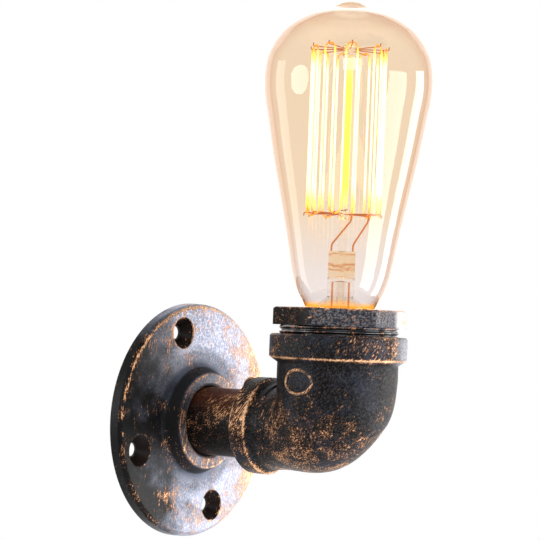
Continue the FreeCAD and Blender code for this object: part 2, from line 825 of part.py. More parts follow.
def make_holder_strap():
    """Saddle strap: a bar under the base whose two arms press up on the bushing's ledge."""
    strap = body("holder_strap")
    low = f"{BASE_BOTTOM} - strap_thick"
    inner = "strap_half_span - strap_thick"
    saddle = polygon(sketch(strap, "strap_front"), [
        ("-strap_half_span", low),
        ("strap_half_span", low),
        ("strap_half_span", BUSHING_BOTTOM),
        (inner, BUSHING_BOTTOM),
        (inner, BASE_BOTTOM),
        (f"-({inner})", BASE_BOTTOM),
        (f"-({inner})", BUSHING_BOTTOM),
        ("-strap_half_span", BUSHING_BOTTOM),
    ])
    pad(strap, "strap_pad", saddle, "strap_width", midplane=True)
    doc.recompute()
    holes = sketch(strap, "strap_holes", "XY_Plane")
    for side in ("", "-"):
        circle(holes, (f"{side}clamp_screw_reach", "0"), "clamp_screw_radius + 0.2")
    pocket(strap, "strap_hole_cuts", holes)
    stand(strap, forward=LAMP_AXIS)
    return node(strap, "holder_strap")


def make_holder_screws():
    """Two cheese-head screws through the strap into the base."""
    screws = []
    seat = f"{BASE_BOTTOM} - strap_thick"
    for name, side in (("left", "-"), ("right", "")):
        screw = body("clamp_screw_" + name)
        spin(screw, name + "_clamp_turned", [
            ("0", f"{seat} - clamp_head_thick"),
            ("clamp_head_radius", f"{seat} - clamp_head_thick"),
            ("clamp_head_radius", seat),
            ("clamp_screw_radius", seat),
            ("clamp_screw_radius", f"{BASE_BOTTOM} + clamp_bite - 0.3"),
            ("0", f"{BASE_BOTTOM} + clamp_bite - 0.3"),
        ])
        stand(screw, forward=LAMP_AXIS, side=f"{side}clamp_screw_reach")
        screws.append(screw)
    group = doc.addObject("Part::Compound", "holder_screws")
    group.Links = screws
    return node(group, "holder_screws")


# ---------------------------------------------------------------- wires

def make_wires():
    """Live and neutral wires from the terminals through the elbow and pipe to the recess."""
    axis = size(LAMP_AXIS)
    bend = size(BEND_AXIS)
    side = size("wire_side")
    low = -size("wire_drop")
    entry = size(f"{BASE_BOTTOM} - terminal_drop + wire_hole_lift")
    block = size("0.5*terminal_deep")
    reach = size("terminal_reach")
    end = -size("wire_set_back")
    bare = size("bare_length")
    live_start = Vector(0, reach + block + bare - axis, entry)
    live = [
        live_start,
        Vector(-0.5 * side, live_start.y + size("live_step"), entry - size("entry_dip")),
        Vector(-side, size("live_turn") - bend, 0.6 * low),
        Vector(-side, size("live_level") - bend, low),
        Vector(-side, end, low),
    ]
    neutral_start = Vector(0, block - reach + bare - axis, entry)
    neutral = [
        neutral_start,
        Vector(0.5 * side, neutral_start.y + size("neutral_step"), entry - size("neutral_dip")),
        Vector(side, -bend - size("neutral_turn"), 0.75 * low),
        Vector(side, -bend - size("neutral_level"), low),
        Vector(side, end, low),
    ]
    cores = []
    core_length = size("core_length")
    held_length = size("terminal_deep + bare_length - 1.2")
    core_radius = size("core_radius")
    for label, points in (("live_wire", live), ("neutral_wire", neutral)):
        straight = points[-1] - points[-2]
        path, radii = route(points)
        print(label, "length", round(path.Length, 1), "bend radii",
              [round(radius, 1) for radius in radii])
        feature(label, [tube(path, size("wire_radius"))])
        cores.append(Part.makeCylinder(core_radius, core_length, points[-1], straight))
        held_start = points[0] - Vector(0, size("core_gap"), 0)
        cores.append(Part.makeCylinder(core_radius, held_length, held_start, Vector(0, -1, 0)))
    feature("wire_cores", cores)


# ---------------------------------------------------------------- bulb

def make_bulb_cap():
    """Cap, its black glass insulator, the centre contact and the cement in the rim."""
    inner = "cap_radius - cap_wall"
    turned_piece("bulb_cap", [
        ("insulator_radius - cap_wall", CAP_BOTTOM),
        ("insulator_radius", CAP_BOTTOM),
        ("cap_radius", f"{CAP_BOTTOM} + cap_cone"),
        ("cap_radius", CAP_RIM),
        (inner, CAP_RIM),
        (inner, f"{CAP_BOTTOM} + cap_cone + 0.1"),
        ("insulator_radius - cap_wall", f"{CAP_BOTTOM} + cap_wall"),
    ], forward=LAMP_AXIS)
    insulator_low = f"{CAP_BOTTOM} - insulator_thick"
    turned_piece("cap_insulator", [
        ("0", insulator_low),
        ("contact_radius + 0.6", insulator_low),
        ("insulator_radius", f"{CAP_BOTTOM}"),
        ("insulator_radius - cap_wall - 0.05", f"{CAP_BOTTOM}"),
        ("insulator_radius - cap_wall - 0.05", f"{CAP_BOTTOM} + 0.8"),
        ("0", f"{CAP_BOTTOM} + 0.8"),
    ], forward=LAMP_AXIS)
    turned_piece("bulb_contact", [
        ("0", CONTACT_BOTTOM),
        ("contact_radius - contact_thick", CONTACT_BOTTOM),
        ("contact_radius", f"{CONTACT_BOTTOM} + 0.6*contact_thick"),
        ("contact_radius", insulator_low),
        ("0", insulator_low),
    ], forward=LAMP_AXIS)
    turned_piece("cap_cement", [
        ("neck_radius", f"{CAP_RIM} - neck_length"),
        (inner, f"{CAP_RIM} - neck_length"),
        (inner, CAP_RIM),
        ("neck_radius", CAP_RIM),
    ], forward=LAMP_AXIS)


def envelope_solid(stations, foot):
    """Solid of revolution inside a smooth curve through (radius, height) stations."""
    spots = [Vector(radius, 0, height) for radius, height in stations]
    curve = Part.BSplineCurve()
    curve.interpolate(spots)
    low = Vector(spots[0].x, 0, foot)
    edges = [
        Part.LineSegment(Vector(0, 0, foot), low).toShape(),
        Part.LineSegment(low, spots[0]).toShape(),
        curve.toShape(),
        Part.LineSegment(spots[-1], Vector(0, 0, foot)).toShape(),
    ]
    face = Part.Face(Part.Wire(edges))
    return face.revolve(Vector(0, 0, 0), Vector(0, 0, 1), 360), curve


def make_bulb_glass():
    """Blown envelope: straight neck, flared waist, long cone, full belly and a sealed pip."""
    height = size(CAP_RIM)
    stations = [(size("neck_radius"), height)]
    for radius, rise in (("flare_radius", "flare_rise"), ("waist_radius", "waist_rise"),
                         ("flank_radius", "flank_rise"), ("shoulder_radius", "shoulder_rise"),
                         ("bulb_radius", "belly_rise"), ("crown_radius", "crown_rise"),
                         ("dome_radius", "dome_rise"), ("brow_radius", "brow_rise"),
                         ("summit_radius", "summit_rise")):
        height += size(rise)
        stations.append((size(radius), height))
    apex = height + size("apex_rise")
    stations.append((0.0, apex))
    foot = size(f"{CAP_RIM} - neck_length")
    outside, curve = envelope_solid(stations, foot)
    wall = size("glass_wall")
    inner_stations = []
    for radius, height in stations[:-1]:
        along = curve.tangent(curve.parameter(Vector(radius, 0, height)))[0]
        inner_stations.append((radius - wall * along.z, height + wall * along.x))
    inner_stations.append((0.0, apex - wall))
    inside, _ = envelope_solid(inner_stations, foot - PAST)
    pip_ball = size("(pip_radius^2 + pip_rise^2) / (2*pip_rise)")
    pip = Part.makeSphere(pip_ball, Vector(0, 0, apex + size("tip_rise") - pip_ball))
    glass = outside.fuse(pip).cut(inside)
    glass.translate(Vector(0, -size(LAMP_AXIS), 0))
    return feature("bulb_glass", [glass])


def make_glass_stem():
    """Flared stem tube sealed in the neck, pinched flat at its top round the leads."""
    stem = body("glass_stem")
    foot = f"({CAP_RIM} - stem_foot_drop)"
    throat = f"({CAP_RIM} + stem_throat_height)"
    flare = "(neck_radius - glass_wall - 0.1)"
    spin(stem, "stem_trumpet", [
        (f"{flare} - stem_wall", foot),
        (flare, foot),
        (flare, f"{foot} + 0.8"),
        ("0.5*(neck_radius + stem_radius) - 0.8", f"{throat} - 0.5*(stem_throat_height)"),
        ("stem_radius", throat),
        ("stem_radius", PRESS_BOTTOM),
        ("0", f"{PRESS_BOTTOM} + 1.0"),
        ("0", f"{PRESS_BOTTOM} - 1.0"),
        ("stem_radius - stem_wall", f"{PRESS_BOTTOM} - 1.5"),
        ("stem_radius - stem_wall", throat),
        ("0.5*(neck_radius + stem_radius) - 0.8 - stem_wall",
         f"{throat} - 0.5*(stem_throat_height) - 0.5"),
    ])
    doc.recompute()
    press = sketch(stem, "press_outline", "XY_Plane", lift=f"{PRESS_BOTTOM} - 0.6")
    press.AttachmentOffset = Placement(
        press.AttachmentOffset.Base, Rotation(Vector(0, 0, 1), size("press_turn")))
    press.setExpression("AttachmentOffset.Rotation.Angle", bound("press_turn"))
    polygon(press, [
        ("-press_half_width", "-0.5*press_thick + 0.8"),
        ("-press_half_width + 0.8", "-0.5*press_thick"),
        ("press_half_width - 0.8", "-0.5*press_thick"),
        ("press_half_width", "-0.5*press_thick + 0.8"),
        ("press_half_width", "0.5*press_thick - 0.8"),
        ("press_half_width - 0.8", "0.5*press_thick"),
        ("-press_half_width + 0.8", "0.5*press_thick"),
        ("-press_half_width", "0.5*press_thick - 0.8"),
    ])
    pad(stem, "press_pad", press, f"{PRESS_TOP} - {PRESS_BOTTOM} + 0.6")
    stand(stem, forward=LAMP_AXIS)
    return node(stem, "glass_stem")


def make_exhaust_tube():
    """Thin tube hanging inside the stem, sealed off in the cap."""
    return turned_piece("exhaust_tube", [
        ("0", f"{CAP_RIM} - tube_drop"),
        ("tube_radius", f"{CAP_RIM} - tube_drop + tube_taper"),
        ("tube_radius", f"{PRESS_BOTTOM} - 1.5"),
        ("tube_bore", f"{PRESS_BOTTOM} - 1.5"),
        ("tube_bore", f"{CAP_RIM} - tube_drop + 3"),
        ("0", f"{CAP_RIM} - tube_drop + tube_taper"),
    ], forward=LAMP_AXIS)


def hook_heights():
    """Heights of the lower and upper hooks, just inside the filament's turns."""
    inside = size("filament_radius + hook_radius + hook_clearance")
    return size(CAGE_BOTTOM) + inside, size(CAGE_TOP) - inside


def make_support_rod():
    """Glass rod from the press to the top of the cage, with a button for each ring of hooks."""
    offset = "(filament_radius + hook_radius + hook_clearance)"
    low = f"({CAGE_BOTTOM} + {offset})"
    high = f"({CAGE_TOP} - {offset})"
    half = "0.5*button_thick"
    return turned_piece("support_rod", [
        ("0", PRESS_TOP),
        ("rod_radius", PRESS_TOP),
        ("rod_radius", f"{low} - {half} - 0.6"),
        ("button_radius", f"{low} - {half}"),
        ("button_radius", f"{low} + {half}"),
        ("rod_radius", f"{low} + {half} + 0.6"),
        ("rod_radius", f"{high} - {half} - 0.6"),
        ("button_radius", f"{high} - {half}"),
        ("button_radius", f"{high} + {half}"),
        ("0.6*button_radius", f"{high} + {half} + 0.8"),
        ("0", f"{high} + {half} + 0.8"),
    ], forward=LAMP_AXIS)


def strand_angles():
    """Plan angles of the upright strands, evenly spaced round the cage but for its gap."""
    count = int(size("strand_count"))
    gap = size("cage_gap")
    step = (360.0 - gap) / (count - 1)
    first = size("cage_turn") + 0.5 * gap
    return [first + step * k for k in range(count)]


def make_filament():
    """One unbroken wire, up and down round the cage, with a half turn over each hook.

    A half turn lies in the upright plane through its two strands, and its radius is half
    of their distance. The two end strands stop at the leads, below the lower hooks.
    """
    angles = strand_angles()
    radius = size("cage_radius")
    turn = radius * math.sin(math.radians(angles[1] - angles[0]) / 2)
    high = size(CAGE_TOP) - turn
    low = size(CAGE_BOTTOM) + turn
    start = size(CAGE_BOTTOM)
    edges = []
    points = []
    for k, angle in enumerate(angles):
        rising = k % 2 == 0
        foot_height = start if k in (0, len(angles) - 1) else low
        foot = place_on(angle, radius, foot_height)
        head = place_on(angle, radius, high)
        ends = (foot, head) if rising else (head, foot)
        edges.append(Part.LineSegment(*ends).toShape())
        points += [ends[0] + (ends[1] - ends[0]) * share for share in (0, 0.25, 0.5, 0.75)]
        if k + 1 < len(angles):
            after = place_on(angles[k + 1], radius, high if rising else low)
            middle = (ends[1] + after) * 0.5 + Vector(0, 0, turn if rising else -turn)
            edges.append(Part.Arc(ends[1], middle, after).toShape())
            points.append(middle)
    wire_radius = size("filament_radius")
    least = min((points[i] - points[j]).Length for i in range(len(points))
                for j in range(i + 1, len(points)) if abs(i // 5 - j // 5) > 0
                and j - i > 2)
    print("filament length", round(sum(edge.Length for edge in edges), 1),
          "half-turn radius", round(turn, 2), "least gap to itself",
          round(min(least, 2 * turn) - 2 * wire_radius, 2))
    return feature("filament", [tube(Part.Wire(edges), wire_radius)])


def hooks(label, first, height, tip):
    """Radial hook wires from a button to just past the filament, their tips turned."""
    angles = strand_angles()
    inner = size("button_radius")
    outer = size("cage_radius + hook_past")
    wires = []
    for k in range(first, len(angles) - 1, 2):
        angle = 0.5 * (angles[k] + angles[k + 1])
        path, _ = route([place_on(angle, inner, height), place_on(angle, outer, height),
                         place_on(angle, outer, height + tip)])
        wires.append(tube(path, size("hook_radius")))
    return feature(label, wires)


def make_supports():
    """Upper hooks with their tips up and lower hooks with their tips down."""
    low, high = hook_heights()
    tip = size("hook_tip")
    hooks("upper_supports", 0, high, tip)
    hooks("lower_supports", 1, low, -tip)


def make_lead_wires():
    """Leads from the press up to the filament's ends, and below the press into the cap."""
    angles = strand_angles()
    turn = size("press_turn")
    spread = size("lead_spread")
    top = size(CAGE_BOTTOM)
    press_top = size(PRESS_TOP)
    press_bottom = size(f"{PRESS_BOTTOM} - 1.5")
    cap_floor = size(f"{CAP_BOTTOM} + 0.8")
    cage = size("cage_radius")
    end_run = size("lead_end_run")
    wires = []
    for side, angle in ((turn, angles[0]), (turn + 180, angles[-1])):
        upper, _ = route([
            place_on(side, spread, press_top),
            place_on(side, spread, press_top + end_run),
            place_on(angle, cage, top - end_run),
            place_on(angle, cage, top),
        ])
        lower = place_on(side, 0.78 * spread, press_bottom)
        drop = place_on(side, 0.78 * spread, cap_floor)
        wires.append(tube(upper, size("lead_radius")))
        wires.append(Part.makeCylinder(size("lead_radius"), (lower - drop).Length, drop))
    return feature("lead_wires", wires)


# ---------------------------------------------------------------- assembly and export

make_wall_flange()
make_earth_screw()
make_pipe_nipple()
make_elbow()
make_hex_bushing()
make_lampholder_body()
make_screw_shell()
make_terminal("live_terminal", "", riser=False)
make_terminal("neutral_terminal", "-", riser=True)
make_terminal_screws()
make_centre_tongue()
make_holder_strap()
make_holder_screws()
make_wires()
make_bulb_cap()
make_bulb_glass()
make_glass_stem()
make_exhaust_tube()
make_support_rod()
make_filament()
make_supports()
make_lead_wires()
doc.recompute()

for item in doc.Objects:
    if {"Invalid", "Error"} & set(item.State):
        raise RuntimeError(f"{item.Label} failed: {item.State}")
for piece in nodes:
    if piece.Shape.isNull() or not piece.Shape.isValid():
        raise RuntimeError(f"{piece.Label} has no valid shape")
os.makedirs("parts", exist_ok=True)
for piece in nodes:
    piece.Shape.exportStep(f"parts/{piece.Label}.step")
    box = piece.Shape.BoundBox
    print(piece.Label, len(piece.Shape.Solids), round(piece.Shape.Volume, 1),
          [round(edge, 2) for edge in (box.XMin, box.YMin, box.ZMin, box.XMax, box.YMax, box.ZMax)])
print(len(nodes), "nodes")
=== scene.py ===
import json
import math

import bpy
import numpy as np
from mathutils import Matrix, Vector
from mathutils.bvhtree import BVHTree


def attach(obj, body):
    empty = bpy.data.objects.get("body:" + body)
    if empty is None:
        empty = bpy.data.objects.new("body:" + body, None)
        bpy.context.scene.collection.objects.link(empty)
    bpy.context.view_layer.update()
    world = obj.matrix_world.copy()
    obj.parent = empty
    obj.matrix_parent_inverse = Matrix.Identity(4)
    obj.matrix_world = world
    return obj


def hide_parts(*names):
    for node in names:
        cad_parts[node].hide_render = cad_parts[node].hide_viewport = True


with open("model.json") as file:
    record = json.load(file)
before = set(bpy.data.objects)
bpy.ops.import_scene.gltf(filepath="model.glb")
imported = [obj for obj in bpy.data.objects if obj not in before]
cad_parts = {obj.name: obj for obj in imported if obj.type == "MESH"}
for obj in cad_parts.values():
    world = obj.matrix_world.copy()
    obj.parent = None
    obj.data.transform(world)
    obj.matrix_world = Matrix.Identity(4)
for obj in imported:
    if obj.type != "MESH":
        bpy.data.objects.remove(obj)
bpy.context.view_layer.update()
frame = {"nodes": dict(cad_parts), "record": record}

MM = 0.001
LAMP_Y = -71.0 * MM             # the bulb's axis stands this far out from the wall

# the wall flange
RIM_EDGE = 44.5 * MM            # radius of its front corner
RIM_FRONT = -3.9 * MM           # its chamfer starts here
HUB_FOOT = 21.0 * MM
HUB_CORNER = 18.3 * MM
HOLE_CIRCLE = 35.8 * MM
HOLE_TURN = math.radians(17.6)
SINK_RADIUS = 6.1 * MM          # a screw hole, where it opens on the face

# the elbow's two banded mouths, and the bushing
COLLAR_LOW = 26.9 * MM
COLLAR_TOP = 35.6 * MM
COLLAR_GROOVE = 24.4 * MM
MOUTH_FACE = -34.8 * MM
MOUTH_BACK = -41.6 * MM
MOUTH_GROOVE = -43.9 * MM
HEX_TOP = 45.6 * MM
CORNER = 0.8 * MM               # how far the wear of a corner reaches

# the bulb cap's thread
THREAD_PITCH = 3.629 * MM
THREAD_LOW = 25.0 * MM
THREAD_TOP = 37.0 * MM

# heights on the bulb, where its glass and wires change and where the painted glows start and stop
NECK_WARM = (48.6 * MM, 46.0 * MM)
AMBER_COAT = (50.0 * MM, 120.0 * MM)
PRESS_LOW = (55.5 * MM, 58.0 * MM)
PRESS_TOP = (67.6 * MM, 66.6 * MM)
PRESS_BANDS = ((61.9 * MM, 0.7 * MM), (60.3 * MM, 0.5 * MM), (66.0 * MM, 0.35 * MM))
ROD_LOW = (82.0 * MM, 92.0 * MM)
ROD_TOP = (142.0 * MM, 130.0 * MM)
CAGE_LOW = (80.0 * MM, 92.0 * MM)
CAGE_TOP = (143.0 * MM, 136.0 * MM)

PICTURE = 540                   # width and height of the picture in pixels

scene = bpy.context.scene
nodes = frame["nodes"]

# the camera
YAW, PITCH, ROLL = (math.radians(v) for v in (-53.342, -1.798, 2.260))
EYE = Vector((-533.90, -435.19, 38.82)) * MM
ahead = Vector((-math.sin(YAW) * math.cos(PITCH), math.cos(YAW) * math.cos(PITCH),
                -math.sin(PITCH)))
level = Vector((math.cos(YAW), math.sin(YAW), 0.0))
above = level.cross(ahead)
right = math.cos(ROLL) * level + math.sin(ROLL) * above
up = math.cos(ROLL) * above - math.sin(ROLL) * level
FOCAL = 1730.28                 # focal length in pixels of the picture


def aimed(px, py):
    """Direction from the eye through a point of the picture: ahead + right * dx / f + up * dy / f."""
    middle = PICTURE / 2
    return (ahead + right * ((px - middle) / FOCAL) + up * ((middle - py) / FOCAL)).normalized()


# ---------------------------------------------------------------- node graphs

class Graph:
    """Short ways to write a node tree: a value is a socket or a number, and a result is a socket."""

    def __init__(self, tree):
        self.tree = tree

    def new(self, kind, **inputs):
        """A node of a kind, with its named inputs filled."""
        node = self.tree.nodes.new(kind)
        for name, value in inputs.items():
            self.put(node.inputs[name.replace("_", " ")], value)
        return node

    def put(self, socket, value):
        """Links a socket into an input, or sets the input to a plain value."""
        if isinstance(value, bpy.types.NodeSocket):
            self.tree.links.new(value, socket)
        else:
            socket.default_value = value

    def math(self, operation, first, second=0.0):
        """One step of arithmetic on one or two values."""
        node = self.tree.nodes.new("ShaderNodeMath")
        node.operation = operation
        self.put(node.inputs[0], first)
        self.put(node.inputs[1], second)
        return node.outputs[0]

    def chain(self, operation, values):
        """The same step from the first value through all the others."""
        total = values[0]
        for value in values[1:]:
            total = self.math(operation, total, value)
        return total

    def add(self, *values):
        """The sum of the values."""
        return self.chain("ADD", values)

    def times(self, *values):
        """The product of the values."""
        return self.chain("MULTIPLY", values)

    def most(self, *values):
        """The largest of the values."""
        return self.chain("MAXIMUM", values)

    def less(self, first, second):
        """First - second."""
        return self.math("SUBTRACT", first, second)

    def size(self, value):
        """The value without its sign."""
        return self.math("ABSOLUTE", value)

    def length(self, first, second):
        """Square root of first ^ 2 + second ^ 2."""
        squares = self.add(self.times(first, first), self.times(second, second))
        return self.math("SQRT", squares)

    def ramp(self, value, low, high, out_low=0.0, out_high=1.0):
        """Smooth step 3 t ^ 2 - 2 t ^ 3 of a value from low to high, where low may be the larger."""
        node = self.tree.nodes.new("ShaderNodeMapRange")
        node.interpolation_type = "SMOOTHSTEP"
        for index, item in enumerate((value, low, high, out_low, out_high)):
            self.put(node.inputs[index], item)
        return node.outputs[0]

    def near(self, value, centre, reach):
        """1 where a value is at the centre, falling to 0 at the reach."""
        return self.ramp(self.size(self.less(value, centre)), 0.0, reach, 1.0, 0.0)

    def between(self, value, rise, fall):
        """A smooth step up through rise, times a smooth step down through fall."""
        return self.times(self.ramp(value, *rise), self.ramp(value, *fall))

    def place(self):
        """The object's own coordinates, in metres."""
        return self.new("ShaderNodeTexCoord").outputs["Object"]

    def split(self, vector):
        """The x, y and z of a vector."""
        node = self.new("ShaderNodeSeparateXYZ", Vector=vector)
        return node.outputs[0], node.outputs[1], node.outputs[2]

    def turned(self, vector, rotation=(0.0, 0.0, 0.0), scale=(1.0, 1.0, 1.0)):
        """A vector scaled along each axis, then turned."""
        node = self.new("ShaderNodeMapping", Vector=vector)
        node.inputs["Rotation"].default_value = rotation
        node.inputs["Scale"].default_value = scale
        return node.outputs[0]

    def noise(self, vector, scale, detail=4.0, roughness=0.6, distortion=0.0):
        """Cloudy noise from about 0 to 1 round a middle of 0.5, with scale cells to the metre."""
        node = self.new("ShaderNodeTexNoise", Vector=vector, Scale=scale, Detail=detail,
                        Roughness=roughness, Distortion=distortion)
        return node.outputs["Fac"]

    def mix(self, factor, first, second):
        """The first colour at a factor of 0, passing to the second at 1."""
        node = self.tree.nodes.new("ShaderNodeMix")
        node.data_type = "RGBA"
        self.put(node.inputs[0], factor)
        self.put(node.inputs[6], first)
        self.put(node.inputs[7], second)
        return node.outputs[2]

    def colours(self, value, *stops):
        """A run of colours over a value, through stops of (value, colour)."""
        node = self.tree.nodes.new("ShaderNodeValToRGB")
        self.put(node.inputs[0], value)
        ramp = node.color_ramp
        ramp.elements[0].position = stops[0][0]
        ramp.elements[0].color = stops[0][1]
        ramp.elements[1].position = stops[-1][0]
        ramp.elements[1].color = stops[-1][1]
        for position, colour in stops[1:-1]:
            ramp.elements.new(position).color = colour
        return node.outputs[0]

    def bump(self, height, distance, strength=1.0, normal=None):
        """A normal tilted by the slope of height * distance."""
        node = self.new("ShaderNodeBump", Height=height, Distance=distance, Strength=strength)
        if normal is not None:
            self.put(node.inputs["Normal"], normal)
        return node.outputs[0]


def colour(red, green, blue):
    """A colour given in sRGB from 0 to 255, as linear light (v / 255) ^ 2.2."""
    linear = [(v / 255) ** 2.2 for v in (red, green, blue)]
    return (*linear, 1.0)


def dimmed(tone, factor):
    """A colour given in sRGB, with its light times a factor."""
    red, green, blue, _ = colour(*tone)
    return (factor * red, factor * green, factor * blue, 1.0)


def group(name, inputs, outputs):
    """A node group with the named sockets; returns it with its graph and its ends."""
    tree = bpy.data.node_groups.new(name, "ShaderNodeTree")
    for label, kind, default in inputs:
        socket = tree.interface.new_socket(label, in_out="INPUT", socket_type=kind)
        if default is not None:
            socket.default_value = default
    for label, kind in outputs:
        tree.interface.new_socket(label, in_out="OUTPUT", socket_type=kind)
    graph = Graph(tree)
    start = tree.nodes.new("NodeGroupInput")
    end = tree.nodes.new("NodeGroupOutput")
    return tree, graph, start.outputs, end.inputs


FLOAT = "NodeSocketFloat"
COLOUR = "NodeSocketColor"
VECTOR = "NodeSocketVector"


def rubbed_group():
    """Antique black rubbed back to copper: fine flecks drawn out along one direction, more on edges.

    The drive is 1.45 streak + 0.5 speck + 0.95 patch + 0.55 broad, each of them noise less its middle,
    plus 0.24 edge and rub; where it passes 0 the black gives way to copper, brighter as it grows.
    """
    tree, g, start, end = group("rubbed_iron", [
        ("Vector", VECTOR, None), ("Edge", FLOAT, 0.0), ("Rub", FLOAT, 0.0), ("Dark", COLOUR, None),
        ("Scuff and Sheen", FLOAT, 0.0), ("Shine", FLOAT, 0.0),
    ], [("Base Color", COLOUR), ("Roughness", FLOAT), ("Metallic", FLOAT), ("Height", FLOAT)])
    where = start["Vector"]
    streak = g.noise(g.turned(where, scale=(1.0, 1.0, 0.15)), 2300.0, 3.0, 0.6, 0.3)
    speck = g.noise(where, 2300.0, 3.0, 0.6)
    patch = g.noise(g.turned(where, scale=(1.0, 1.0, 0.6)), 190.0, 4.0, 0.65, 0.6)
    broad = g.noise(where, 46.0, 3.0, 0.55)
    lumps = g.noise(where, 210.0, 3.0, 0.5)
    drive = g.add(g.times(g.less(streak, 0.5), 1.45), g.times(g.less(speck, 0.5), 0.5),
                  g.times(g.less(patch, 0.5), 0.95), g.times(g.less(broad, 0.5), 0.55))
    drive = g.add(drive, g.times(start["Edge"], 0.24), start["Rub"])
    fleck = g.ramp(drive, 0.0, 0.20)
    scuff = g.noise(g.turned(where, scale=(1.0, 1.0, 0.7)), 1500.0, 4.0, 0.75)
    scuffs_and_sheen = g.times(g.ramp(scuff, 0.44, 0.66), start["Scuff and Sheen"])
    bright = g.add(g.times(drive, 2.7), g.times(g.less(speck, 0.5), 1.1))
    tone = g.colours(g.math("MINIMUM", bright, 1.0),
                     (0.0, colour(56, 38, 30)), (0.24, colour(112, 74, 48)),
                     (0.52, colour(172, 120, 80)), (0.95, colour(228, 182, 142)))
    # the Dark ground comes in with painted sheen and painted shade from the masks; the pale scuffs
    # mixed in here are a few real scratches, and a painted sheen where the masks raise them on the lit
    # side
    ground = g.mix(scuffs_and_sheen, start["Dark"], colour(204, 194, 190))
    g.put(end["Base Color"], g.mix(fleck, ground, tone))
    g.put(end["Roughness"], g.add(0.36, g.times(speck, 0.2), g.times(fleck, 0.04)))
    shine = g.times(start["Shine"], g.add(0.3, g.times(g.ramp(scuff, 0.40, 0.62), 0.7)))
    g.put(end["Metallic"], g.most(g.times(fleck, 0.35), shine))
    g.put(end["Height"], g.add(g.times(fleck, -0.3), g.times(speck, 0.35), g.times(lumps, 1.6)))
    return tree


RUBBED = rubbed_group()


def material(name):
    """An empty material with its Principled shader and graph."""
    made = bpy.data.materials.new(name)
    made.use_nodes = True
    shader = made.node_tree.nodes["Principled BSDF"]
    return made, Graph(made.node_tree), shader


def rubbed_iron(name, masks, grain, gloss=0.2):
    """Black cast iron rubbed to copper along grain; masks gives the group's inputs from x, y and z."""
    turn = Vector(grain).rotation_difference(Vector((0.0, 0.0, 1.0))).to_euler()
    made, g, shader = material(name)
    here = g.place()
    x, y, z = g.split(here)
    values = masks(g, here, x, y, z)
    effect = g.tree.nodes.new("ShaderNodeGroup")
    effect.node_tree = RUBBED
    g.put(effect.inputs["Vector"], g.turned(here, rotation=turn))
    for label, value in zip(("Edge", "Rub", "Dark", "Scuff and Sheen", "Shine"), values):
        g.put(effect.inputs[label], value)
    for label in ("Base Color", "Roughness", "Metallic"):
        g.put(shader.inputs[label], effect.outputs[label])
    soft = g.new("ShaderNodeBevel", Radius=0.7 * MM)
    soft.samples = 4
    g.put(shader.inputs["Normal"], g.bump(effect.outputs["Height"], 0.16 * MM, 0.6, soft.outputs[0]))
    shader.inputs["Specular IOR Level"].default_value = gloss
    return made


def rightward(g, x, y):
    """How far a point lies to the right of the bulb's axis, along the way the light comes."""
    return g.add(x, g.times(g.less(y, LAMP_Y), -0.7))


# where the flange's finish, painted sheen and painted shade change: from, to, and the values there if
# they aren't 0 and 1
RIM_WEAR = 0.75 * MM
EDGE_STEP = 0.6 * MM
RIM_UPWARD = (-24.0 * MM, 30.0 * MM, 0.35, 1.35)
HUB_FRONT = (-10.2 * MM, -11.2 * MM)
HUB_FLANK = ((-5.8 * MM, -7.2 * MM), (-11.2 * MM, -10.4 * MM))
HUB_SHADE = (1.0 * MM, 4.0 * MM)
FLANGE_OUTWARD = (24.0 * MM, 45.0 * MM)
FLANGE_LEFT = (-34.0 * MM, 4.0 * MM)
FLANGE_RIGHT = (14.0 * MM, 44.0 * MM)
FLANGE_SHEEN = (26.0 * MM, 30.0 * MM, 0.55, 1.0)
SINK_EDGE = (SINK_RADIUS - 0.1 * MM, SINK_RADIUS + 0.2 * MM)


